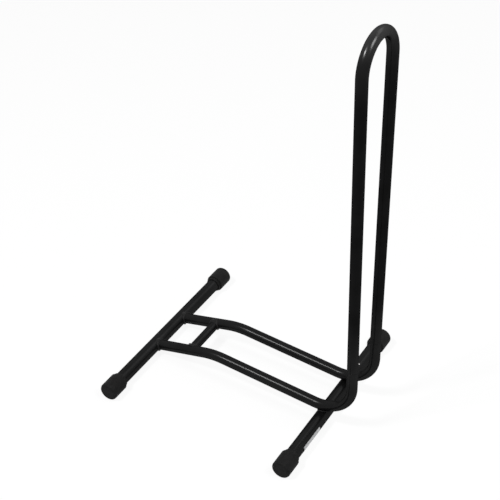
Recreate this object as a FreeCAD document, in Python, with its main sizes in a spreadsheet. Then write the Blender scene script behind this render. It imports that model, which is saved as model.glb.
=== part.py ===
import FreeCAD, Part
import math
import os

import Sketcher

# Floor bike rack: one wheel stands in a slot between two rails and leans in a tall hoop.
# The base is welded from round steel tube and the hoop plugs onto its two legs.
#
# Frame: +Z up, +X from the rear cross tube to the hoop, +Y to the left.
# The origin is on the floor, under the middle of the rack's box.
#
# Every length is in millimetres and every angle in degrees.

DIMENSIONS = {
    # every tube
    "tube_wall": 1.2,
    # cross tubes
    "cross_diameter": 23.0,
    "cross_spacing": 333.0,        # from the axis of the rear one to the axis of the front one
    # feet on their ends, which also carry them above the floor
    "base_width": 368.0,           # over the closed ends of the feet
    "foot_wall": 4.5,              # rubber round the tube in the thick part
    "foot_length": 33.0,           # of the thick part
    "foot_end_wall": 6.0,          # rubber between the tube's end and the closed end
    "foot_edge": 4.5,              # rounding of the closed end
    "foot_shoulder": 1.6,          # rounding of the thick part towards the collar
    "collar_wall": 2.0,            # thin lip at the mouth
    "collar_length": 5.0,
    "collar_edge": 0.8,            # rounding of the lip
    # base rails: ramp, crest bend, rail, heel bend and leg in one tube
    "hoop_diameter": 18.0,         # of the rails and the hoop
    "leg_spacing": 81.4,           # between the axes of the two rails
    "ramp_drop": 1.1,              # the ramp starts this far below the axis of the rear cross tube
    "crest_along": 119.5,          # ramp and rail would cross here, ahead of the rear cross tube
    "crest_rise": 31.4,            # and this far above the axes of the cross tubes
    "crest_bend": 127.0,           # radius of the crest bend at the tube's axis
    "heel_bend": 61.3,             # radius of the heel bend at the tube's axis
    "heel_setback": 13.4,          # centre of the heel bend, behind the front cross tube
    "leg_straight": 38.0,          # from the end of the heel bend to the joint with the hoop
    "leg_lean": 1.64,              # legs and hoop lean back towards the rear cross tube
    # hoop
    "hoop_rise": 563.8,            # from the joint to the tube's axis at the crown
    "leg_spread": 6.0,             # each leg stands this much further out at the crown
    "hoop_trim": 2.0,              # cut off each leg so that both ends are level
    "joint_edge": 0.6,             # rounding of the tube ends that meet at the joint
    # stub that joins the hoop to a base leg
    "plug_stop": 8.0,              # from its lower end to the heel bend
    "plug_reach": 25.0,            # how far it stands up into the hoop
    "plug_clearance": 0.4,         # play between the stub and the hoop, on the radius
    # spreader between the ramps
    "spreader_diameter": 16.2,
    "spreader_setback": 25.0,      # behind the start of the crest bend
    # fillet welds
    "bead_size": 2.6,
    "bead_rounding": 1.3,
    # bare label
    "label_length": 52.0,
    "label_foot_gap": 20.5,        # from the mouth of the foot
    "label_top_angle": 26.0,       # upper edge, above the level of the tube's axis
    "label_wrap_angle": 125.0,     # how far it goes round the tube
    "label_thickness": 0.15,
}

SIDES = {"left": 1, "right": -1}

document = FreeCAD.newDocument("floor_bike_rack")


# ---------------------------------------------------------------- driving dimensions

def fill_sheet():
    dimensions = document.addObject("Spreadsheet::Sheet", "dims")
    for row, (name, value) in enumerate(DIMENSIONS.items(), start=1):
        dimensions.set("A%d" % row, name)
        dimensions.set("B%d" % row, str(value))
        dimensions.setAlias("B%d" % row, name)
    document.recompute()
    return dimensions


sheet = fill_sheet()


def size(name):
    return float(getattr(sheet, name))


# ---------------------------------------------------------------- places worked out from them

class Flat:
    """A point or a direction in the plane of a bent tube: along and up."""

    def __init__(self, along, up):
        self.along = along
        self.up = up

    def __add__(self, other):
        return Flat(self.along + other.along, self.up + other.up)

    def __sub__(self, other):
        return Flat(self.along - other.along, self.up - other.up)

    def __mul__(self, factor):
        return Flat(self.along * factor, self.up * factor)

    def dot(self, other):
        return self.along * other.along + self.up * other.up

    def length(self):
        return math.hypot(self.along, self.up)

    def unit(self):
        return self * (1.0 / self.length())

    def turned_left(self):
        return Flat(-self.up, self.along)

    def in_sketch(self):
        return FreeCAD.Vector(self.along, self.up, 0)


def tangent_point(point, centre, radius):
    """Where the line from a point touches a circle, with the circle on the line's left."""
    away = centre - point
    opening = math.asin(radius / away.length())
    bearing = math.atan2(away.up, away.along) - opening
    line = Flat(math.cos(bearing), math.sin(bearing))
    return point + line * (away.length() * math.cos(opening))


foot_radius = size("cross_diameter") / 2.0 + size("foot_wall")
axis_height = foot_radius
half_spacing = size("leg_spacing") / 2.0
rest_distance = (size("cross_diameter") + size("hoop_diameter")) / 2.0
lean = math.radians(size("leg_lean"))

front_axis = Flat(size("cross_spacing"), axis_height)
ramp_foot = Flat(0.0, axis_height - size("ramp_drop"))
crest = Flat(size("crest_along"), axis_height + size("crest_rise"))
leg_direction = Flat(-math.sin(lean), math.cos(lean))

# the heel bend lies on top of the front cross tube
heel_reach = size("heel_bend") + rest_distance
heel_rise = math.sqrt(heel_reach ** 2 - size("heel_setback") ** 2)
heel = front_axis + Flat(-size("heel_setback"), heel_rise)
heel_start = tangent_point(crest, heel, size("heel_bend"))
heel_end = heel - leg_direction.turned_left() * size("heel_bend")
joint = heel_end + leg_direction * size("leg_straight")

ramp_direction = (crest - ramp_foot).unit()
rail_direction = (heel_start - crest).unit()
crest_turn = math.acos(ramp_direction.dot(rail_direction))
crest_tangent = size("crest_bend") * math.tan(crest_turn / 2.0)
crest_start = crest - ramp_direction * crest_tangent
crest_end = crest + rail_direction * crest_tangent
crest_centre = crest_start - ramp_direction.turned_left() * size("crest_bend")

spreader_along = crest_start.along - size("spreader_setback")
spreader_slope = ramp_direction.up / ramp_direction.along
spreader_axis = Flat(spreader_along, ramp_foot.up + spreader_along * spreader_slope)

front_reach = heel.along + size("heel_bend") + size("hoop_diameter") / 2.0
rear_x = (foot_radius - front_reach) / 2.0      # X of the rear cross tube in the part's frame
helper_length = size("cross_diameter") + 2.0 * size("hoop_diameter")

ALONG_LEFT = FreeCAD.Rotation(FreeCAD.Vector(1, 0, 0), -90)     # local +Z becomes +Y


def rotation_to(direction):
    """Turns local +Z into a direction of the rail's plane."""
    aim = FreeCAD.Vector(direction.along, 0, direction.up)
    return FreeCAD.Rotation(FreeCAD.Vector(0, 0, 1), aim)


def place(along, y, z, rotation=None):
    """A place given from the rear cross tube's axis, the middle plane and the floor."""
    return FreeCAD.Placement(FreeCAD.Vector(rear_x + along, y, z), rotation or FreeCAD.Rotation())


# ---------------------------------------------------------------- building blocks

def new_body(label):
    body = document.addObject("PartDesign::Body", label)
    body.Label = label
    return body


def sketch_on(body, role, name):
    plane = next(item for item in body.Origin.OriginFeatures if item.Role == role)
    sketch = body.newObject("Sketcher::SketchObject", name)
    sketch.AttachmentSupport = [(plane, "")]
    sketch.MapMode = "FlatFace"
    return sketch


def measure(sketch, name, expression, *constraint):
    """A named dimension of a sketch that follows the sheet."""
    index = sketch.addConstraint(Sketcher.Constraint(*constraint))
    sketch.renameConstraint(index, name)
    sketch.setExpression("Constraints." + name, expression)


def line(sketch, start, end):
    return sketch.addGeometry(Part.LineSegment(start.in_sketch(), end.in_sketch()), False)


def arc(sketch, centre, radius, start, end):
    """Anticlockwise arc from start to end."""
    first = start - centre
    last = end - centre
    circle = Part.Circle(centre.in_sketch(), FreeCAD.Vector(0, 0, 1), radius)
    bend = Part.ArcOfCircle(
        circle, math.atan2(first.up, first.along), math.atan2(last.up, last.along))
    return sketch.addGeometry(bend, False)


def circle_at(sketch, centre, radius, construction=False):
    circle = Part.Circle(centre.in_sketch(), FreeCAD.Vector(0, 0, 1), radius)
    return sketch.addGeometry(circle, construction)


def ring(sketch, centre, outer):
    """The section of a tube: its outside and its bore about one centre."""
    outside = size(outer)
    bore = outside - 2.0 * size("tube_wall")
    big = circle_at(sketch, centre, outside / 2.0)
    small = circle_at(sketch, centre, bore / 2.0)
    sketch.addConstraint(Sketcher.Constraint("Coincident", small, 3, big, 3))
    measure(sketch, "outside", "dims." + outer, "Diameter", big, outside)
    measure(sketch, "bore", "dims.%s - 2 * dims.tube_wall" % outer, "Diameter", small, bore)
    return big


def closed_outline(sketch, corners):
    """Lines through the corners, level and upright in turn, the first one level."""
    lines = [line(sketch, start, end) for start, end in zip(corners, corners[1:] + corners[:1])]
    for index, this in enumerate(lines):
        following = lines[(index + 1) % len(lines)]
        sketch.addConstraint(Sketcher.Constraint("Coincident", this, 2, following, 1))
        direction = "Horizontal" if index % 2 == 0 else "Vertical"
        sketch.addConstraint(Sketcher.Constraint(direction, this))
    return lines


def turn(body, profile, name):
    """Turns a profile about the upright axis of its sketch."""
    turned = body.newObject("PartDesign::Revolution", name)
    turned.Profile = profile
    turned.ReferenceAxis = (profile, ["V_Axis"])
    turned.Angle = 360.0
    return turned


def rims(shape, radius, centres):
    """Names of the round edges of that radius about these points, one for each."""
    girth = 2.0 * math.pi * radius
    names = []
    for centre in centres:
        names += [
            "Edge%d" % number for number, edge in enumerate(shape.Edges, start=1)
            if abs(edge.Length - girth) < 0.002 * girth
            and edge.BoundBox.Center.distanceToPoint(centre) < 0.01 * radius
        ]
    if len(names) != len(centres):
        raise ValueError("%d rims of radius %g, not %d" % (len(names), radius, len(centres)))
    return names


def round_joint_ends(body, tube, centres, name):
    """Takes the outer edge off the tube ends that meet where hoop and base leg join."""
    document.recompute()
    rounding = body.newObject("PartDesign::Fillet", name)
    rounding.Base = (tube, rims(tube.Shape, size("hoop_diameter") / 2.0, centres))
    rounding.setExpression("Radius", "min(dims.joint_edge; 0.8 * dims.tube_wall)")


# ---------------------------------------------------------------- cross tubes

def cross_tube(label, along):
    body = new_body(label)
    section = sketch_on(body, "XZ_Plane", label + "_section")
    circle = ring(section, Flat(0, 0), "cross_diameter")
    section.addConstraint(Sketcher.Constraint("Coincident", circle, 3, -1, 1))
    pad = body.newObject("PartDesign::Pad", label + "_length")
    pad.Profile = section
    pad.SideType = "Symmetric"
    pad.setExpression("Length", "dims.base_width - 2 * dims.foot_end_wall")
    body.Placement = place(along, 0, axis_height)
    return body


# ---------------------------------------------------------------- feet

def foot(label, along, side):
    """Slip-on rubber foot, turned about the tube's axis and closed at its outer end."""
    body = new_body(label)
    bore = size("cross_diameter") / 2.0
    lip = bore + size("collar_wall")
    shoulder = size("foot_length")
    mouth = shoulder + size("collar_length")
    floor = size("foot_end_wall")
    # along is the radius, up runs from the closed end to the mouth
    profile = sketch_on(body, "XZ_Plane", label + "_profile")
    lines = closed_outline(profile, [
        Flat(0, 0), Flat(foot_radius, 0), Flat(foot_radius, shoulder), Flat(lip, shoulder),
        Flat(lip, mouth), Flat(bore, mouth), Flat(bore, floor), Flat(0, floor),
    ])
    profile.addConstraint(Sketcher.Constraint("Coincident", lines[0], 1, -1, 1))
    half = "dims.cross_diameter / 2"
    measure(profile, "outer_radius", half + " + dims.foot_wall",
            "DistanceX", -1, 1, lines[0], 2, foot_radius)
    measure(profile, "thick_length", "dims.foot_length",
            "DistanceY", -1, 1, lines[1], 2, shoulder)
    measure(profile, "lip_radius", half + " + dims.collar_wall",
            "DistanceX", -1, 1, lines[2], 2, lip)
    measure(profile, "mouth_length", "dims.foot_length + dims.collar_length",
            "DistanceY", -1, 1, lines[3], 2, mouth)
    measure(profile, "bore_radius", half,
            "DistanceX", -1, 1, lines[4], 2, bore)
    measure(profile, "end_wall", "dims.foot_end_wall",
            "DistanceY", -1, 1, lines[5], 2, floor)
    rounded = turn(body, profile, label + "_turned")
    step = "(dims.foot_wall - dims.collar_wall)"
    for name, radius, height, limit in (
        ("foot_edge", foot_radius, 0.0, "dims.foot_end_wall"),
        ("foot_shoulder", foot_radius, shoulder, step),
        ("collar_edge", lip, mouth, "dims.collar_wall"),
    ):
        document.recompute()
        fillet = body.newObject("PartDesign::Fillet", label + "_" + name)
        fillet.Base = (rounded, rims(rounded.Shape, radius, [FreeCAD.Vector(0, 0, height)]))
        fillet.setExpression("Radius", "min(dims.%s; 0.8 * %s)" % (name, limit))
        rounded = fillet
    inward = FreeCAD.Rotation(FreeCAD.Vector(1, 0, 0), 90 * side)
    body.Placement = place(along, side * size("base_width") / 2.0, axis_height, inward)
    return body


# ---------------------------------------------------------------- base rails

def rail_path(body, label):
    """Ramp, crest bend, rail, heel bend and leg, as one line through the tube's axis."""
    path = sketch_on(body, "XZ_Plane", label + "_path")
    crest_radius = size("crest_bend")
    heel_radius = size("heel_bend")
    ramp = line(path, ramp_foot, crest_start)
    crest_arc = arc(path, crest_centre, crest_radius, crest_end, crest_start)
    rail = line(path, crest_end, heel_start)
    heel_arc = arc(path, heel, heel_radius, heel_start, heel_end)
    leg = line(path, heel_end, joint)
    corner = path.addGeometry(Part.Point(crest.in_sketch()), True)
    rest = circle_at(path, front_axis, rest_distance, construction=True)

    for one, one_end, other, other_end in (
        (ramp, 2, crest_arc, 2),
        (crest_arc, 1, rail, 1),
        (rail, 2, heel_arc, 1),
        (heel_arc, 2, leg, 1),
    ):
        path.addConstraint(Sketcher.Constraint("Tangent", one, one_end, other, other_end))
    path.addConstraint(Sketcher.Constraint("PointOnObject", ramp, 1, -2))
    path.addConstraint(Sketcher.Constraint("PointOnObject", corner, 1, ramp))
    path.addConstraint(Sketcher.Constraint("PointOnObject", corner, 1, rail))
    path.addConstraint(Sketcher.Constraint("Tangent", rest, heel_arc))

    axis = "dims.cross_diameter / 2 + dims.foot_wall"
    measure(path, "ramp_height", axis + " - dims.ramp_drop",
            "DistanceY", -1, 1, ramp, 1, ramp_foot.up)
    measure(path, "crest_along", "dims.crest_along",
            "DistanceX", -1, 1, corner, 1, crest.along)
    measure(path, "crest_height", axis + " + dims.crest_rise",
            "DistanceY", -1, 1, corner, 1, crest.up)
    measure(path, "crest_radius", "dims.crest_bend", "Radius", crest_arc, crest_radius)
    measure(path, "front_along", "dims.cross_spacing",
            "DistanceX", -1, 1, rest, 3, front_axis.along)
    measure(path, "front_height", axis,
            "DistanceY", -1, 1, rest, 3, front_axis.up)
    measure(path, "rest_radius", "(dims.cross_diameter + dims.hoop_diameter) / 2",
            "Radius", rest, rest_distance)
    measure(path, "heel_along", "dims.cross_spacing - dims.heel_setback",
            "DistanceX", -1, 1, heel_arc, 3, heel.along)
    measure(path, "heel_radius", "dims.heel_bend", "Radius", heel_arc, heel_radius)
    measure(path, "leg_length", "dims.leg_straight", "Distance", leg, size("leg_straight"))
    measure(path, "leg_angle", "90 + dims.leg_lean",
            "Angle", -1, 1, leg, 1, math.pi / 2 + lean)
    document.recompute()
    return path


def base_rail(label, side):
    body = new_body(label)
    path = rail_path(body, label)
    section = body.newObject("Sketcher::SketchObject", label + "_section")
    section.AttachmentSupport = [(path, "Edge1")]
    section.MapMode = "NormalToEdge"
    document.recompute()
    circle = ring(section, Flat(0, 0), "hoop_diameter")
    section.addConstraint(Sketcher.Constraint("Coincident", circle, 3, -1, 1))
    pipe = body.newObject("PartDesign::AdditivePipe", label + "_tube")
    pipe.Profile = section
    pipe.Spine = path
    document.recompute()
    # the lower end is shaped to sit on the rear cross tube
    mouth = sketch_on(body, "XZ_Plane", label + "_mouth")
    circle = circle_at(mouth, Flat(0, axis_height), size("cross_diameter") / 2.0)
    mouth.addConstraint(Sketcher.Constraint("PointOnObject", circle, 3, -2))
    measure(mouth, "height", "dims.cross_diameter / 2 + dims.foot_wall",
            "DistanceY", -1, 1, circle, 3, axis_height)
    measure(mouth, "width", "dims.cross_diameter", "Diameter", circle, size("cross_diameter"))
    cope = body.newObject("PartDesign::Pocket", label + "_cope")
    cope.Profile = mouth
    cope.SideType = "Symmetric"
    cope.setExpression("Length", "2 * dims.hoop_diameter")
    upper_end = FreeCAD.Vector(joint.along, 0, joint.up)
    round_joint_ends(body, cope, [upper_end], label + "_joint_edge")
    body.Placement = place(0, side * half_spacing, 0)
    return body


# ---------------------------------------------------------------- hoop

def hoop_path(body, label):
    """Two legs that spread a little upwards and a round crown, as one line in their plane."""
    radius = half_spacing + size("leg_spread")
    centre = Flat(0.0, size("hoop_rise") - radius)
    left_foot = Flat(half_spacing, 0.0)
    left_top = tangent_point(left_foot, centre, radius)
    left_end = left_foot - (left_top - left_foot).unit() * size("hoop_trim")
    right_foot, right_top, right_end = (
        Flat(-spot.along, spot.up) for spot in (left_foot, left_top, left_end))

    path = sketch_on(body, "YZ_Plane", label + "_path")
    left_leg = line(path, left_end, left_top)
    crown = arc(path, centre, radius, left_top, right_top)
    right_leg = line(path, right_top, right_end)
    path.addConstraint(Sketcher.Constraint("Tangent", left_leg, 2, crown, 1))
    path.addConstraint(Sketcher.Constraint("Tangent", crown, 2, right_leg, 1))
    path.addConstraint(Sketcher.Constraint("PointOnObject", crown, 3, -2))
    half = "dims.leg_spacing / 2"
    for side_name, leg, end, foot_place in (
        ("left", left_leg, 1, left_foot), ("right", right_leg, 2, right_foot),
    ):
        meeting = path.addGeometry(Part.Point(foot_place.in_sketch()), True)
        path.addConstraint(Sketcher.Constraint("PointOnObject", meeting, 1, -1))
        path.addConstraint(Sketcher.Constraint("PointOnObject", meeting, 1, leg))
        ends = (-1, 1, meeting, 1) if side_name == "left" else (meeting, 1, -1, 1)
        measure(path, side_name + "_reach", half, "DistanceX", *ends, half_spacing)
        measure(path, side_name + "_trim", "dims.hoop_trim",
                "Distance", leg, end, meeting, 1, size("hoop_trim"))
    measure(path, "centre_height", "dims.hoop_rise - dims.leg_spacing / 2 - dims.leg_spread",
            "DistanceY", -1, 1, crown, 3, centre.up)
    measure(path, "crown_radius", half + " + dims.leg_spread", "Radius", crown, radius)
    document.recompute()
    return path


def hoop(label):
    body = new_body(label)
    path = hoop_path(body, label)
    section = body.newObject("Sketcher::SketchObject", label + "_section")
    section.AttachmentSupport = [(path, "Edge1")]
    section.MapMode = "NormalToEdge"
    document.recompute()
    circle = ring(section, Flat(0, 0), "hoop_diameter")
    section.addConstraint(Sketcher.Constraint("Coincident", circle, 3, -1, 1))
    pipe = body.newObject("PartDesign::AdditivePipe", label + "_tube")
    pipe.Profile = section
    pipe.Spine = path
    document.recompute()
    # both ends are cut level, to stand square on the base legs
    below = sketch_on(body, "XY_Plane", label + "_below_ends")
    area = circle_at(below, Flat(0, 0), 2 * half_spacing)
    below.addConstraint(Sketcher.Constraint("Coincident", area, 3, -1, 1))
    measure(below, "reach", "2 * dims.leg_spacing", "Diameter", area, 4 * half_spacing)
    levelled = body.newObject("PartDesign::Pocket", label + "_levelled")
    levelled.Profile = below
    levelled.setExpression("Length", "2 * dims.hoop_trim")
    lower_ends = [FreeCAD.Vector(0, side * half_spacing, 0) for side in SIDES.values()]
    round_joint_ends(body, levelled, lower_ends, label + "_joint_edge")
    body.Placement = place(joint.along, 0, joint.up, rotation_to(leg_direction))
    return body


# ---------------------------------------------------------------- stub between base leg and hoop

def leg_plug(label, side):
    """Stepped stub: pressed into the base leg below, a sliding fit in the hoop above."""
    body = new_body(label)
    tight = size("hoop_diameter") / 2.0 - size("tube_wall")
    loose = tight - size("plug_clearance")
    bore = loose - size("tube_wall")
    depth = size("leg_straight") - size("plug_stop")
    reach = size("plug_reach")
    profile = sketch_on(body, "XZ_Plane", label + "_profile")
    lines = closed_outline(profile, [
        Flat(bore, -depth), Flat(tight, -depth), Flat(tight, 0), Flat(loose, 0),
        Flat(loose, reach), Flat(bore, reach),
    ])
    profile.addConstraint(Sketcher.Constraint("PointOnObject", lines[1], 2, -1))
    tight_size = "dims.hoop_diameter / 2 - dims.tube_wall"
    loose_size = tight_size + " - dims.plug_clearance"
    measure(profile, "tight", tight_size, "DistanceX", -1, 1, lines[1], 1, tight)
    measure(profile, "loose", loose_size, "DistanceX", -1, 1, lines[3], 1, loose)
    measure(profile, "bore", loose_size + " - dims.tube_wall",
            "DistanceX", -1, 1, lines[5], 1, bore)
    measure(profile, "depth", "dims.leg_straight - dims.plug_stop",
            "DistanceY", lines[0], 2, -1, 1, depth)
    measure(profile, "reach", "dims.plug_reach", "DistanceY", -1, 1, lines[3], 2, reach)
    turn(body, profile, label + "_turned")
    body.Placement = place(joint.along, side * half_spacing, joint.up, rotation_to(leg_direction))
    return body


# ---------------------------------------------------------------- rods, bends and cuts

def rod(name, diameter, length, placement):
    """Solid cylinder, its diameter an expression of the sheet."""
    cylinder = document.addObject("Part::Cylinder", name)
    cylinder.setExpression("Radius", "(%s) / 2" % diameter)
    cylinder.Height = length
    cylinder.Placement = placement
    return cylinder


def cross_rod(name, diameter, along, y):
    """Rod about the axis of a cross tube, centred on y."""
    start = y - helper_length / 2.0
    seam_behind = ALONG_LEFT * FreeCAD.Rotation(FreeCAD.Vector(0, 0, 1), 180)
    return rod(name, diameter, helper_length, place(along, start, axis_height, seam_behind))


def ramp_rod(name, diameter, side):
    """Rod about the axis of a ramp, from the rear cross tube's axis to the crest bend."""
    start = place(0, side * half_spacing, ramp_foot.up, rotation_to(ramp_direction))
    return rod(name, diameter, (crest_start - ramp_foot).length(), start)


def spreader_rod(name, diameter, side):
    """Rod about the spreader's axis, from the middle plane to the axis of a ramp."""
    start = min(0.0, side * half_spacing)
    placement = place(spreader_axis.along, start, spreader_axis.up, ALONG_LEFT)
    return rod(name, diameter, half_spacing, placement)


def heel_ring(name, diameter, side):
    """Full ring about the axis of a heel bend."""
    torus = document.addObject("Part::Torus", name)
    torus.setExpression("Radius1", "dims.heel_bend")
    torus.setExpression("Radius2", "(%s) / 2" % diameter)
    torus.Placement = place(heel.along, side * half_spacing, heel.up, ALONG_LEFT)
    return torus


def joined(kind, name, base, tool):
    """Part::Cut or Part::Common of two objects."""
    result = document.addObject("Part::" + kind, name)
    result.Base = base
    result.Tool = tool
    return result


# ---------------------------------------------------------------- spreader

def spreader(label):
    """Short tube between the ramps, its ends shaped to their round sides."""
    start = place(spreader_axis.along, -half_spacing, spreader_axis.up, ALONG_LEFT)
    bore = "dims.spreader_diameter - 2 * dims.tube_wall"
    outside = rod(label + "_outside", "dims.spreader_diameter", 2 * half_spacing, start)
    inside = rod(label + "_inside", bore, 2 * half_spacing, start)
    tube = joined("Cut", label + "_bored", outside, inside)
    for side_name, side in SIDES.items():
        ramp = ramp_rod(label + "_beside_" + side_name, "dims.hoop_diameter", side)
        tube = joined("Cut", label + "_coped_" + side_name, tube, ramp)
    tube.Label = label
    return tube


# ---------------------------------------------------------------- welds

HOOP = "dims.hoop_diameter"
CROSS = "dims.cross_diameter"
SPREADER = "dims.spreader_diameter"
WITH_BEAD = " + 2 * dims.bead_size"


def bead(label, make_one, make_other, diameters, trim=None):
    """Fillet weld: all that lies close to both tubes and in neither, its corner rounded."""
    one, other = diameters
    solid = joined("Common", label + "_close",
                   make_one(label + "_round_one", one + WITH_BEAD),
                   make_other(label + "_round_other", other + WITH_BEAD))
    solid = joined("Cut", label + "_off_one", solid, make_one(label + "_one", one))
    solid = joined("Cut", label + "_off_other", solid, make_other(label + "_other", other))
    if trim:
        solid = joined("Common", label + "_trimmed", solid, trim)
    document.recompute()
    rounded = document.addObject("Part::Fillet", label + "_rounded")
    rounded.Base = solid
    radius = min(size("bead_rounding"), size("bead_size") / 2.0)
    rounded.Edges = [(number, radius, radius) for number in outer_edges(solid.Shape, diameters)]
    rounded.Label = label
    return rounded


def outer_edges(shape, diameters):
    """Numbers of the edges where the two outer faces of a bead meet."""
    alias_radii = [size(diameter.split(".")[1]) / 2.0 for diameter in diameters]
    outer_radii = [radius + size("bead_size") for radius in alias_radii]
    faces = [[], []]
    for face in shape.Faces:
        surface = face.Surface
        radius = getattr(surface, "MinorRadius", None) or getattr(surface, "Radius", 0.0)
        for group, outer in zip(faces, outer_radii):
            if abs(radius - outer) < 1e-6:
                group.append(face)

    def borders(edge, group):
        return any(edge.isSame(other) for face in group for other in face.Edges)

    return [number for number, edge in enumerate(shape.Edges, start=1)
            if borders(edge, faces[0]) and borders(edge, faces[1])]


def rear_weld(label, side):
    """All round the lower end of a ramp, on the rear cross tube."""
    return bead(
        label,
        lambda name, diameter: ramp_rod(name, diameter, side),
        lambda name, diameter: cross_rod(name, diameter, 0, side * half_spacing),
        (HOOP, CROSS))


def spreader_weld(label, side):
    """All round one end of the spreader, on the inner side of a ramp."""
    return bead(
        label,
        lambda name, diameter: ramp_rod(name, diameter, side),
        lambda name, diameter: spreader_rod(name, diameter, side),
        (HOOP, SPREADER))


def front_weld(label, side):
    """In the wedge between a rail and the front cross tube, on the rail's outer side."""
    gap = size("bead_size")
    start = gap if side > 0 else -gap - helper_length
    outer_side = document.addObject("Part::Box", label + "_outer_side")
    outer_side.Length = helper_length
    outer_side.Width = helper_length
    outer_side.Height = helper_length
    outer_side.Placement = place(
        front_axis.along - helper_length / 2.0, side * half_spacing + start, 0)
    return bead(
        label,
        lambda name, diameter: heel_ring(name, diameter, side),
        lambda name, diameter: cross_rod(name, diameter, front_axis.along, side * half_spacing),
        (HOOP, CROSS),
        outer_side)


# ---------------------------------------------------------------- label

def blank_label(label):
    """Bare strip stuck round the lower front of the front cross tube, on its right half."""
    mouth = size("base_width") / 2.0 - size("foot_length") - size("collar_length")
    outer_end = mouth - size("label_foot_gap")
    to_upper_edge = FreeCAD.Rotation(FreeCAD.Vector(0, 0, 1), -size("label_top_angle"))
    start = place(front_axis.along, -outer_end, axis_height, ALONG_LEFT * to_upper_edge)
    length = size("label_length")
    skin = rod(label + "_skin", CROSS + " + 2 * dims.label_thickness", length, start)
    tube = rod(label + "_tube", CROSS, length, start)
    for cylinder in (skin, tube):
        cylinder.setExpression("Angle", "dims.label_wrap_angle")
    strip = joined("Cut", label + "_strip", skin, tube)
    strip.Label = label
    return strip


# ---------------------------------------------------------------- the rack

def build():
    front = front_axis.along
    pieces = [
        cross_tube("rear_cross_tube", 0),
        cross_tube("front_cross_tube", front),
        spreader("spreader_tube"),
        hoop("hoop"),
        blank_label("blank_label"),
    ]
    for side_name, side in SIDES.items():
        pieces += [
            base_rail("base_rail_" + side_name, side),
            leg_plug("leg_plug_" + side_name, side),
            foot("rear_foot_" + side_name, 0, side),
            foot("front_foot_" + side_name, front, side),
            rear_weld("rear_weld_" + side_name, side),
            spreader_weld("spreader_weld_" + side_name, side),
            front_weld("front_weld_" + side_name, side),
        ]
    document.recompute()
    return pieces


def check(pieces):
    for thing in document.Objects:
        if {"Invalid", "Error"} & set(thing.State):
            raise ValueError("%s is %s" % (thing.Name, thing.State))
    for piece in pieces:
        shape = piece.Shape
        if shape.isNull() or not shape.isValid() or len(shape.Solids) != 1:
            raise ValueError("%s is not one valid solid" % piece.Label)


def write(pieces):
    os.makedirs("parts", exist_ok=True)
    for piece in pieces:
        piece.Shape.exportStep("parts/%s.step" % piece.Label)
        print("%-22s %10.1f mm3" % (piece.Label, piece.Shape.Volume))


pieces = build()
check(pieces)
write(pieces)
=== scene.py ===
import math

import bmesh
import bpy
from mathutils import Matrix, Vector


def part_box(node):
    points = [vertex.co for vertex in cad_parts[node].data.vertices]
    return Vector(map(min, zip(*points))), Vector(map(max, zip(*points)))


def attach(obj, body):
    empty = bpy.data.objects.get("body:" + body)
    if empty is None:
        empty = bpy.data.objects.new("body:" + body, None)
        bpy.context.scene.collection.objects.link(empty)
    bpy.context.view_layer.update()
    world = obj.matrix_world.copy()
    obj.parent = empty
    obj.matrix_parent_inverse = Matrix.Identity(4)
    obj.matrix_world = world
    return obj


# Floor bike rack: black coated tube on four rubber feet, with its weld beads, the plug-in
# joints of the hoop and a bare label. Lengths are in metres, in the frame of the solids.

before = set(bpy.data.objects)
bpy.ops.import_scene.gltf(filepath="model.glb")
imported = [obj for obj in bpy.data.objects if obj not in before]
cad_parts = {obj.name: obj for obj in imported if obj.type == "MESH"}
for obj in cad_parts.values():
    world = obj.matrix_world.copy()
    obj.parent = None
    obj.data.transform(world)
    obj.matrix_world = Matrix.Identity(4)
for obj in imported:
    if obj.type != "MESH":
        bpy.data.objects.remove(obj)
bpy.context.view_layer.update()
MM = 0.001

# ---------------------------------------------------------------- the rack's own sizes

REAR_X = -186.95 * MM           # axis of the rear cross tube
FRONT_X = 146.05 * MM           # axis of the front cross tube
AXIS_Z = 16.0 * MM              # both, above the floor
CROSS_RADIUS = 11.5 * MM
RAIL_RADIUS = 9.0 * MM
RAIL_Y = 40.7 * MM
SPREADER_RADIUS = 8.1 * MM
RAMP_START_Z = 14.9 * MM        # where a ramp's axis starts, straight under that of the rear tube
CREST = (-67.45 * MM, 47.4 * MM)    # x and z where the axes of ramp and rail would cross
HEEL_RADIUS = 61.3 * MM         # bend from rail to leg, at the tube's axis
HEEL_SETBACK = 13.4 * MM        # middle of that bend, behind the front cross tube's axis
SIDES = {"left": 1.0, "right": -1.0}


# ---------------------------------------------------------------- shader trees

class Socket:
    """An output of a shader tree, for Python's + and * and for a number minus it."""

    def __init__(self, finish, output):
        self.finish = finish
        self.output = output

    def __add__(self, other):
        return self.finish.math("ADD", self, other)

    def __radd__(self, other):
        return self.finish.math("ADD", other, self)

    def __rsub__(self, other):
        return self.finish.math("SUBTRACT", other, self)

    def __mul__(self, other):
        return self.finish.math("MULTIPLY", self, other)

    def __rmul__(self, other):
        return self.finish.math("MULTIPLY", other, self)


def add_node(tree, kind, settings=None, values=None):
    """Adds a node to any tree: first its settings, then its sockets, as numbers or links."""
    made = tree.nodes.new(kind)
    for name, setting in (settings or {}).items():
        setattr(made, name, setting)
    for key, value in (values or {}).items():
        source = value.output if isinstance(value, Socket) else value
        if isinstance(source, bpy.types.NodeSocket):
            tree.links.new(source, made.inputs[key])
        else:
            made.inputs[key].default_value = source
    return made


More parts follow.
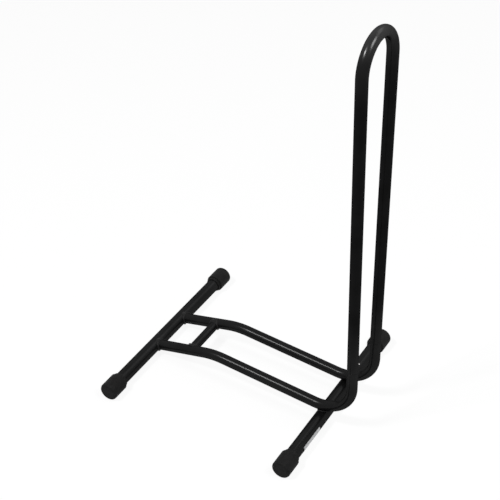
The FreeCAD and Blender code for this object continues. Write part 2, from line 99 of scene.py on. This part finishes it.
class Finish:
    """A material or the world while its tree is being built."""

    def __init__(self, owner):
        owner.use_nodes = True
        self.owner = owner
        self.tree = owner.node_tree
        self.tree.nodes.clear()

    def node(self, kind, settings=None, values=None, output=0):
        """Adds a node and returns one of its outputs."""
        return Socket(self, add_node(self.tree, kind, settings, values).outputs[output])

    def math(self, operation, first, second):
        return self.node("ShaderNodeMath", {"operation": operation}, {0: first, 1: second})

    def place(self):
        """Object coordinates: metres in the frame of the solids."""
        return self.node("ShaderNodeTexCoord", output="Object")

    def along(self, vector, axis):
        """One component of a vector."""
        return self.node("ShaderNodeSeparateXYZ", values={0: vector}, output=axis)

    def stretched(self, vector, scale):
        return self.node("ShaderNodeVectorMath", {"operation": "MULTIPLY"}, {0: vector, 1: scale})

    def noise(self, vector, grain, detail=2.0, roughness=0.5):
        """Soft noise whose lumps are about grain metres across, from 0 to 1."""
        return self.node(
            "ShaderNodeTexNoise", {"noise_dimensions": "3D"},
            {"Vector": vector, "Scale": 1.0 / grain, "Detail": detail, "Roughness": roughness})

    def cells(self, vector, size):
        """Distance, in units of size, to the nearest of many scattered points."""
        return self.node(
            "ShaderNodeTexVoronoi", {"feature": "F1"},
            {"Vector": vector, "Scale": 1.0 / size, "Randomness": 1.0}, "Distance")

    def between(self, value, low, high):
        """Goes smoothly from 0 at low to 1 at high and holds both ends."""
        return self.node(
            "ShaderNodeMapRange", {"interpolation_type": "SMOOTHSTEP", "clamp": True},
            {"Value": value, "From Min": low, "From Max": high})

    def blend(self, factor, one, other):
        """A colour between two colours."""
        return self.node(
            "ShaderNodeMix", {"data_type": "RGBA", "clamp_factor": True},
            {0: factor, 6: one, 7: other}, output=2)

    def bump(self, height, depth, onto=None):
        """Normal of a surface raised by height (0 to 1) times depth in metres."""
        values = {"Strength": 1.0, "Distance": depth, "Height": height}
        if onto is not None:
            values["Normal"] = onto
        return self.node("ShaderNodeBump", None, values)

    def seen(self):
        """1 where the camera, a mirror or glass shows the surface, 0 for light it sheds."""
        seen = self.node("ShaderNodeLightPath", output="Is Camera Ray")
        for ray in ("Is Glossy Ray", "Is Transmission Ray"):
            seen = self.math("MAXIMUM", seen, self.node("ShaderNodeLightPath", output=ray))
        return seen

    def surface(self, colour, roughness, normal, **others):
        """Ends the tree in one Principled shader. others are sockets, with _ for a space."""
        values = {"Base Color": colour, "Roughness": roughness, "Normal": normal}
        values.update({name.replace("_", " "): value for name, value in others.items()})
        self.out(self.node("ShaderNodeBsdfPrincipled", None, values))
        return self.owner

    def out(self, shader):
        world = isinstance(self.owner, bpy.types.World)
        end = self.tree.nodes.new("ShaderNodeOutputWorld" if world else "ShaderNodeOutputMaterial")
        self.tree.links.new(shader.output, end.inputs["Surface"])


def grey(level, warmth=0.0):
    """A linear colour close to grey."""
    return (level * (1.0 + warmth), level, level * (1.0 - warmth), 1.0)


# ---------------------------------------------------------------- finishes

# Weight of the black coat's gloss layer. It is lower on the straight legs, higher on the crown
# and dimmed towards grazing angles. A real coat isn't: these values bring the greys and the
# highlights near the photograph's, under a floor and room that are mirrored white.
GLOSS = 0.21
# painted shade: the straight legs get less gloss, so they show darker
GLOSS_CUT_FOR_LEG_SHADE = 0.14
# painted highlight: the crown gets more gloss, so its sheen shows brighter
GLOSS_ADDED_FOR_CROWN_HIGHLIGHT = 0.40
GLOSS_LOST_AT_EDGE = 0.75
# heights over which those changes set in
LEGS_BEGIN = (0.15, 0.24)
LEGS_END = (0.60, 0.68)
CROWN_BEGINS = (0.672, 0.702)
# from a surface that faces the view, at 0, to one seen along its face, at 1
EDGE_BEGINS = (0.30, 0.75)


def black_coat():
    """Black powder coat: a near-black body under a thin, slightly uneven layer of gloss."""
    coat = Finish(bpy.data.materials.new("black_coat"))
    spot = coat.place()
    peel = coat.noise(spot, 1.7 * MM, 2.0, 0.45)
    fine = coat.noise(spot, 0.45 * MM, 1.0, 0.5)
    patch = coat.noise(spot, 9.0 * MM, 2.0, 0.5)
    cloud = coat.between(coat.noise(spot, 38.0 * MM, 3.0, 0.55), 0.3, 0.7)
    height = coat.along(spot, "Z")
    # dust caught in the coat, and dirt low on the rack
    specks = 1.0 - coat.between(coat.cells(spot, 6.5 * MM), 0.02, 0.075)
    low = 1.0 - coat.between(height, 2.0 * MM, 26.0 * MM)
    dirt = low * coat.between(coat.noise(spot, 5.0 * MM, 4.0, 0.62), 0.42, 0.75)
    # painted shade on the straight legs, made by giving them less gloss
    leg_shade_band = coat.between(height, *LEGS_BEGIN) * (1.0 - coat.between(height, *LEGS_END))
    colour = coat.blend(cloud, (0.0034, 0.0034, 0.0035, 1.0), (0.0050, 0.0050, 0.0052, 1.0))
    colour = coat.blend(dirt * 0.14, colour, (0.060, 0.058, 0.054, 1.0))
    colour = coat.blend(specks * 0.16, colour, (0.050, 0.050, 0.050, 1.0))
    # painted highlight on the crown, made by giving it more gloss
    crown_highlight_band = coat.between(height, *CROWN_BEGINS)
    gloss = GLOSS - GLOSS_CUT_FOR_LEG_SHADE * leg_shade_band + GLOSS_ADDED_FOR_CROWN_HIGHLIGHT * crown_highlight_band
    gloss = gloss * (0.94 + 0.12 * cloud) * (0.97 + 0.06 * peel)
    gloss = gloss * (1.0 - 0.55 * dirt) * (1.0 - 0.35 * specks)
    edge = coat.node("ShaderNodeLayerWeight", None, {"Blend": 0.5}, "Facing")
    gloss = gloss * (1.0 - GLOSS_LOST_AT_EDGE * coat.between(edge, *EDGE_BEGINS))
    roughness = 0.26 + 0.08 * coat.between(patch, 0.3, 0.7) + 0.14 * dirt + 0.10 * specks
    normal = coat.bump(peel, 0.020 * MM)
    normal = coat.bump(fine, 0.004 * MM, normal)
    normal = coat.bump(specks, 0.030 * MM, normal)
    return coat.surface(colour, roughness, normal, Coat_Weight=gloss, Coat_Roughness=0.25,
                        Specular_IOR_Level=0.0)


def weld_coat():
    """The black coat over weld metal: a little greyer, uneven, with hardly any gloss."""
    coat = Finish(bpy.data.materials.new("weld_coat"))
    spot = coat.place()
    spatter = coat.noise(spot, 0.8 * MM, 3.0, 0.6)
    cloud = coat.noise(spot, 3.0 * MM, 2.0, 0.5)
    colour = coat.blend(coat.between(cloud, 0.3, 0.7), grey(0.0080), grey(0.0130))
    roughness = 0.26 + 0.16 * coat.between(spatter, 0.3, 0.7)
    normal = coat.bump(spatter, 0.06 * MM)
    normal = coat.bump(cloud, 0.10 * MM, normal)
    return coat.surface(colour, roughness, normal, Specular_IOR_Level=0.08)


def foot_rubber():
    """Moulded black rubber: finely textured, greyer than the coat, scuffed where it stands."""
    rubber = Finish(bpy.data.materials.new("foot_rubber"))
    spot = rubber.place()
    grain = rubber.noise(spot, 0.35 * MM, 2.0, 0.6)
    pits = 1.0 - rubber.between(rubber.cells(spot, 0.8 * MM), 0.05, 0.35)
    flow = rubber.noise(rubber.stretched(spot, (1.0, 0.35, 1.0)), 7.0 * MM, 3.0, 0.5)
    height = rubber.along(spot, "Z")
    sole = 1.0 - rubber.between(height, 0.2 * MM, 4.5 * MM)
    scuff = sole * rubber.between(rubber.noise(spot, 1.6 * MM, 4.0, 0.65), 0.40, 0.72)
    bloom = rubber.between(rubber.noise(spot, 14.0 * MM, 3.0, 0.6), 0.35, 0.75)
    colour = rubber.blend(rubber.between(flow, 0.3, 0.7), grey(0.0080, 0.01), grey(0.0115, 0.01))
    colour = rubber.blend(bloom * 0.14, colour, grey(0.024, 0.02))
    colour = rubber.blend(scuff * 0.45, colour, grey(0.085, 0.04))
    roughness = 0.50 + 0.10 * grain + 0.08 * bloom + 0.16 * scuff
    normal = rubber.bump(grain, 0.015 * MM)
    normal = rubber.bump(pits, -0.015 * MM, normal)
    return rubber.surface(colour, roughness, normal, Specular_IOR_Level=0.04)


def bare_steel():
    """Uncoated steel of the two hidden stubs and the spatter, with turning marks and stains."""
    steel = Finish(bpy.data.materials.new("bare_steel"))
    spot = steel.place()
    rings = steel.noise(steel.stretched(spot, (0.12, 0.12, 1.0)), 0.30 * MM, 3.0, 0.6)
    stain = steel.between(steel.noise(spot, 8.0 * MM, 4.0, 0.6), 0.40, 0.72)
    colour = steel.blend(stain, grey(0.46, 0.01), grey(0.30, 0.06))
    roughness = 0.30 + 0.16 * rings + 0.14 * stain
    normal = steel.bump(rings, 0.012 * MM)
    return steel.surface(colour, roughness, normal, Metallic=1.0)


def label_film():
    """Bare pale film with a satin face, slightly uneven over the coat below."""
    film = Finish(bpy.data.materials.new("label"))
    spot = film.place()
    ripple = film.noise(film.stretched(spot, (1.0, 0.4, 1.0)), 5.0 * MM, 2.0, 0.5)
    fibre = film.noise(spot, 0.25 * MM, 2.0, 0.6)
    tone = film.between(film.noise(spot, 9.0 * MM, 3.0, 0.55), 0.3, 0.7)
    colour = film.blend(tone, (0.375, 0.379, 0.385, 1.0), (0.425, 0.429, 0.434, 1.0))
    roughness = 0.40 + 0.10 * ripple + 0.06 * fibre
    normal = film.bump(ripple, 0.10 * MM)
    normal = film.bump(fibre, 0.004 * MM, normal)
    return film.surface(colour, roughness, normal, Specular_IOR_Level=0.5)


COAT = black_coat()
WELD = weld_coat()
RUBBER = foot_rubber()
STEEL = bare_steel()
FILM = label_film()

FINISH_OF = {
    "rear_cross_tube": COAT, "front_cross_tube": COAT, "spreader_tube": COAT, "hoop": COAT,
    "blank_label": FILM,
}
for side in SIDES:
    FINISH_OF.update({
        "base_rail_" + side: COAT, "leg_plug_" + side: STEEL,
        "rear_foot_" + side: RUBBER, "front_foot_" + side: RUBBER,
        "rear_weld_" + side: WELD, "spreader_weld_" + side: WELD, "front_weld_" + side: WELD,
    })


def dress(solid, finish):
    """Gives a CAD node its finish."""
    if not solid.data.materials:
        solid.data.materials.append(finish)
    for holder in solid.material_slots:
        holder.material = finish


for name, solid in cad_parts.items():
    dress(solid, FINISH_OF[name])


# ---------------------------------------------------------------- weld ripples

def ripple_tree():
    """Geometry Nodes: overlapping flat drops along a path, as a hand-fed bead sets."""
    tree = bpy.data.node_groups.new("weld_ripples", "GeometryNodeTree")
    ports = tree.interface
    ports.new_socket("Path", in_out="INPUT", socket_type="NodeSocketGeometry")
    for name, kind, value in (
        ("Step", "NodeSocketFloat", 1.15 * MM),
        ("Half Length", "NodeSocketFloat", 1.00 * MM),
        ("Half Width", "NodeSocketFloat", 1.25 * MM),
        ("Half Height", "NodeSocketFloat", 0.48 * MM),
        ("Unevenness", "NodeSocketFloat", 0.14),
        ("Tilt", "NodeSocketFloat", math.radians(13.0)),
        ("Seed", "NodeSocketInt", 4),
        ("Finish", "NodeSocketMaterial", None),
    ):
        port = ports.new_socket(name, in_out="INPUT", socket_type=kind)
        if value is not None:
            port.default_value = value
    ports.new_socket("Ripples", in_out="OUTPUT", socket_type="NodeSocketGeometry")

    def node(kind, settings=None, values=None, output=0):
        return add_node(tree, kind, settings, values).outputs[output]

    given = tree.nodes.new("NodeGroupInput").outputs
    outward = node("GeometryNodeInputNamedAttribute", {"data_type": "FLOAT_VECTOR"},
                   {"Name": "outward"})
    curve = node("GeometryNodeMeshToCurve", None, {"Mesh": given["Path"]})
    curve = node("GeometryNodeResampleCurve", {"mode": "LENGTH"},
                 {"Curve": curve, "Length": given["Step"]})
    tangent = node("GeometryNodeInputTangent")
    drop = node("GeometryNodeMeshIcoSphere", None, {"Radius": 1.0, "Subdivisions": 2})
    upright = node("FunctionNodeAlignRotationToVector", {"axis": "Z"},
                   {"Factor": 1.0, "Vector": outward})
    turned = node("FunctionNodeAlignRotationToVector", {"axis": "X", "pivot_axis": "Z"},
                  {"Rotation": upright, "Factor": 1.0, "Vector": tangent})
    tip = node("FunctionNodeAxisAngleToRotation", None,
               {"Axis": (0.0, 1.0, 0.0), "Angle": given["Tilt"]})
    tipped = node("FunctionNodeRotateRotation", {"rotation_space": "LOCAL"},
                  {"Rotation": turned, "Rotate By": tip})
    low = node("ShaderNodeMath", {"operation": "SUBTRACT"}, {0: 1.0, 1: given["Unevenness"]})
    high = node("ShaderNodeMath", {"operation": "ADD"}, {0: 1.0, 1: given["Unevenness"]})
    uneven = node("FunctionNodeRandomValue", {"data_type": "FLOAT"},
                  {"Min": low, "Max": high, "Seed": given["Seed"]}, "Value")
    size = node("ShaderNodeCombineXYZ", None,
                {0: given["Half Length"], 1: given["Half Width"], 2: given["Half Height"]})
    size = node("ShaderNodeVectorMath", {"operation": "SCALE"}, {0: size, "Scale": uneven})
    drops = node("GeometryNodeInstanceOnPoints", None,
                 {"Points": curve, "Instance": drop, "Rotation": tipped, "Scale": size})
    drops = node("GeometryNodeRealizeInstances", None, {"Geometry": drops})
    drops = node("GeometryNodeSetShadeSmooth", None, {0: drops})
    drops = node("GeometryNodeSetMaterial", None,
                 {"Geometry": drops, "Material": given["Finish"]})
    tree.links.new(drops, tree.nodes.new("NodeGroupOutput").inputs["Ripples"])
    return tree


def piece_from(name, mesh):
    piece = bpy.data.objects.new(name, mesh)
    bpy.context.scene.collection.objects.link(piece)
    return piece


def rippled(name, points, outwards, closed, tree, seed):
    """Sets ripples on a path of points and turns the result into a plain mesh."""
    path = bpy.data.meshes.new(name + "_path")
    count = len(points)
    edges = [(i, i + 1) for i in range(count - 1)] + ([(count - 1, 0)] if closed else [])
    path.from_pydata(points, edges, [])
    attribute = path.attributes.new("outward", "FLOAT_VECTOR", "POINT")
    for item, direction in zip(attribute.data, outwards):
        item.vector = direction
    carrier = piece_from(name + "_carrier", path)
    modifier = carrier.modifiers.new("ripples", "NODES")
    modifier.node_group = tree
    for item in tree.interface.items_tree:
        if item.item_type != "SOCKET" or item.in_out != "INPUT":
            continue
        if item.name == "Seed":
            modifier[item.identifier] = seed
        elif item.name == "Finish":
            modifier[item.identifier] = WELD
    evaluated = carrier.evaluated_get(bpy.context.evaluated_depsgraph_get())
    mesh = bpy.data.meshes.new_from_object(evaluated)
    mesh.name = name
    bpy.data.objects.remove(carrier)
    piece = piece_from(name, mesh)
    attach(piece, "root")
    return piece


# how far a ripple's middle stands off either tube
CREST_OFF = 1.65 * MM
# The beads on the front cross tube run over its top, as angles from straight ahead, and stop
# where the wedge is too narrow for them.
FRONT_BEAD_START = 129.0
FRONT_BEAD_SWEEP = 76.0
FRONT_BEAD_LEAST = 0.35 * RAIL_RADIUS

ramp_run = Vector((CREST[0] - REAR_X, 0.0, CREST[1] - RAMP_START_Z)).normalized()
ramp_up = Vector((-ramp_run.z, 0.0, ramp_run.x))
ramp_foot = Vector((REAR_X, 0.0, RAMP_START_Z))
rear_axis = Vector((REAR_X, 0.0, AXIS_Z))
front_axis = Vector((FRONT_X, 0.0, AXIS_Z))
heel_reach = HEEL_RADIUS + CROSS_RADIUS + RAIL_RADIUS
heel_centre = front_axis + Vector(
    (-HEEL_SETBACK, 0.0, math.sqrt(heel_reach ** 2 - HEEL_SETBACK ** 2)))
spreader_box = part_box("spreader_tube")
spreader_axis = (Vector(spreader_box[0]) + Vector(spreader_box[1])) / 2.0
spreader_axis.y = 0.0


def rear_bead(side, count=96):
    """Round the lower end of a ramp, where it meets the rear cross tube."""
    points, outwards = [], []
    for index in range(count):
        angle = 2.0 * math.pi * index / count
        radial = Vector((0.0, math.cos(angle), 0.0)) + ramp_up * math.sin(angle)
        start = ramp_foot + radial * (RAIL_RADIUS + CREST_OFF)
        offset = start - rear_axis
        offset.y = 0.0
        half = offset.dot(ramp_run)
        rest = offset.length_squared - (CROSS_RADIUS + CREST_OFF) ** 2
        travel = -half + math.sqrt(half * half - rest)
        away = (offset + ramp_run * travel).normalized()
        spot = start + ramp_run * travel
        points.append(spot + Vector((0.0, side * RAIL_Y, 0.0)))
        outwards.append((radial + away).normalized())
    return points, outwards


def spreader_bead(side, count=96):
    """Round one end of the spreader, on the inner side of a ramp."""
    points, outwards = [], []
    for index in range(count):
        angle = 2.0 * math.pi * index / count
        away = Vector((math.cos(angle), 0.0, math.sin(angle)))
        spot = spreader_axis + away * (SPREADER_RADIUS + CREST_OFF)
        rise = (spot - ramp_foot).dot(ramp_up)
        inset = math.sqrt((RAIL_RADIUS + CREST_OFF) ** 2 - rise ** 2)
        radial = (ramp_up * rise + Vector((0.0, -side * inset, 0.0))).normalized()
        points.append(spot + Vector((0.0, side * (RAIL_Y - inset), 0.0)))
        outwards.append((radial + away).normalized())
    return points, outwards


def front_bead(side, count=40):
    """In the wedge between a rail and the front cross tube, on the rail's outer side."""
    points, outwards = [], []
    for index in range(count):
        angle = math.radians(FRONT_BEAD_START - FRONT_BEAD_SWEEP * index / (count - 1))
        away = Vector((math.cos(angle), 0.0, math.sin(angle)))
        spot = front_axis + away * (CROSS_RADIUS + CREST_OFF)
        from_heel = spot - heel_centre
        beside = from_heel.length - HEEL_RADIUS
        room = (RAIL_RADIUS + CREST_OFF) ** 2 - beside ** 2
        if room < FRONT_BEAD_LEAST ** 2:
            continue
        outset = math.sqrt(room)
        radial = from_heel.normalized() * beside + Vector((0.0, side * outset, 0.0))
        points.append(spot + Vector((0.0, side * (RAIL_Y + outset), 0.0)))
        outwards.append((radial.normalized() + away).normalized())
    return points, outwards


ripples = ripple_tree()
for number, (side, sign) in enumerate(SIDES.items()):
    rippled("rear_weld_ripples_" + side, *rear_bead(sign), True, ripples, 11 + number)
    rippled("spreader_weld_ripples_" + side, *spreader_bead(sign), True, ripples, 21 + number)
    rippled("front_weld_ripples_" + side, *front_bead(sign), False, ripples, 31 + number)


SPATTER_Y = 84.5 * MM
SPATTER_ANGLE = 84.0            # round the front cross tube, from straight ahead
SPATTER_HALF_WIDTH = 1.5 * MM
SPATTER_HALF_LENGTH = 1.4 * MM
SPATTER_HALF_HEIGHT = 1.1 * MM
SPATTER_SUNK = 0.15 * MM        # its middle, below the face of the tube
SPATTER_TAIL = 0.8 * MM         # how much longer the front half is
SPATTER_TAPER = 0.45            # and how much narrower, at its end


def weld_spatter():
    """A bead of spatter on top of the front cross tube, with a short tail, rubbed bare."""
    shape = bmesh.new()
    bmesh.ops.create_icosphere(shape, subdivisions=3, radius=1.0)
    rise = math.radians(SPATTER_ANGLE)
    out = Vector((math.cos(rise), 0.0, math.sin(rise)))
    down = Vector((math.sin(rise), 0.0, -math.cos(rise)))
    left = Vector((0.0, 1.0, 0.0))
    foot = front_axis + left * SPATTER_Y + out * (CROSS_RADIUS - SPATTER_SUNK)
    for vertex in shape.verts:
        across, along, up = vertex.co
        tail = max(along, 0.0)
        narrow = 1.0 - SPATTER_TAPER * tail ** 2
        vertex.co = (foot + left * SPATTER_HALF_WIDTH * across * narrow
                     + down * (SPATTER_HALF_LENGTH + SPATTER_TAIL * tail) * along
                     + out * SPATTER_HALF_HEIGHT * up * narrow)
    bmesh.ops.recalc_face_normals(shape, faces=shape.faces)
    mesh = bpy.data.meshes.new("weld_spatter")
    shape.to_mesh(mesh)
    shape.free()
    mesh.shade_smooth()
    mesh.materials.append(STEEL)
    piece = piece_from("weld_spatter", mesh)
    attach(piece, "root")


weld_spatter()


# ---------------------------------------------------------------- stage

FLOOR_REACH = 14.0
FLOOR_GREY = 0.86
FLOOR_WHITENESS = 0.90          # share of plain white in what shows, the rest takes the shadow
ROOM_LIGHT = 0.18               # what the room sheds on the rack
AIM = Vector((0.0, 0.0, 0.20))  # the point that all lamps face


def stage_floor():
    """A plain pale floor that shows as white and still takes a soft shadow."""
    shade = Finish(bpy.data.materials.new("pale_floor"))
    share = shade.seen() * FLOOR_WHITENESS
    matt = shade.node("ShaderNodeBsdfDiffuse", None, {"Color": grey(FLOOR_GREY)})
    glow = shade.node("ShaderNodeEmission", None, {"Color": grey(1.0), "Strength": 1.0})
    shade.out(shade.node("ShaderNodeMixShader", None, {0: share, 1: matt, 2: glow}))
    mesh = bpy.data.meshes.new("floor")
    corners = [(-1.0, -1.0), (1.0, -1.0), (1.0, 1.0), (-1.0, 1.0)]
    mesh.from_pydata([(x * FLOOR_REACH, y * FLOOR_REACH, 0.0) for x, y in corners],
                     [], [(0, 1, 2, 3)])
    mesh.materials.append(shade.owner)
    piece_from("floor", mesh)


def stage_world():
    """An even pale room, white where it is seen or mirrored."""
    room = bpy.data.worlds.new("room")
    bpy.context.scene.world = room
    air = Finish(room)
    seen = air.seen()
    dim = air.node("ShaderNodeBackground", None, {"Color": grey(1.0), "Strength": ROOM_LIGHT})
    white = air.node("ShaderNodeBackground", None, {"Color": grey(1.0), "Strength": 1.0})
    air.out(air.node("ShaderNodeMixShader", None, {0: seen, 1: dim, 2: white}))


def softbox(name, azimuth, elevation, distance, width, height, watts):
    """An area lamp that faces AIM. Its azimuth is in degrees from +X towards +Y."""
    lamp = bpy.data.lights.new(name, "AREA")
    lamp.shape = "RECTANGLE"
    lamp.size = width
    lamp.size_y = height
    lamp.energy = watts
    holder = bpy.data.objects.new(name, lamp)
    bpy.context.scene.collection.objects.link(holder)
    turn, rise = math.radians(azimuth), math.radians(elevation)
    away = Vector((math.cos(turn) * math.cos(rise), math.sin(turn) * math.cos(rise),
                   math.sin(rise)))
    holder.location = AIM + away * distance
    holder.rotation_euler = away.to_track_quat("Z", "Y").to_euler()


stage_floor()
stage_world()
softbox("key_softbox", azimuth=-120.0, elevation=57.0, distance=2.8,
        width=0.50, height=0.28, watts=60.0)
softbox("side_softbox", azimuth=8.0, elevation=57.0, distance=3.0,
        width=1.10, height=1.10, watts=54.0)
softbox("back_softbox", azimuth=70.0, elevation=50.0, distance=3.2,
        width=1.8, height=1.2, watts=10.0)


# ---------------------------------------------------------------- camera

# fitted to the photograph: place in metres, angles in degrees, lens and sensor in millimetres
CAMERA_PLACE = (0.74039, -1.26499, 1.41878)
CAMERA_AZIMUTH = 30.974         # 0 looks along +Y
CAMERA_ELEVATION = 38.037
CAMERA_LENS = 84.614
CAMERA_SENSOR = 36.0


def look():
    """The photograph's view: from the hoop's end and the right side, well above the floor."""
    azimuth, elevation = math.radians(CAMERA_AZIMUTH), math.radians(CAMERA_ELEVATION)
    camera = bpy.data.cameras.new("camera")
    camera.sensor_width = CAMERA_SENSOR
    camera.lens = CAMERA_LENS
    camera.clip_start = 0.05
    camera.clip_end = 60.0
    holder = bpy.data.objects.new("camera", camera)
    holder.location = CAMERA_PLACE
    holder.rotation_euler = (math.pi / 2.0 - elevation, 0.0, azimuth)
    bpy.context.scene.collection.objects.link(holder)
    bpy.context.scene.camera = holder


look()
bpy.context.scene.view_settings.view_transform = "Standard"
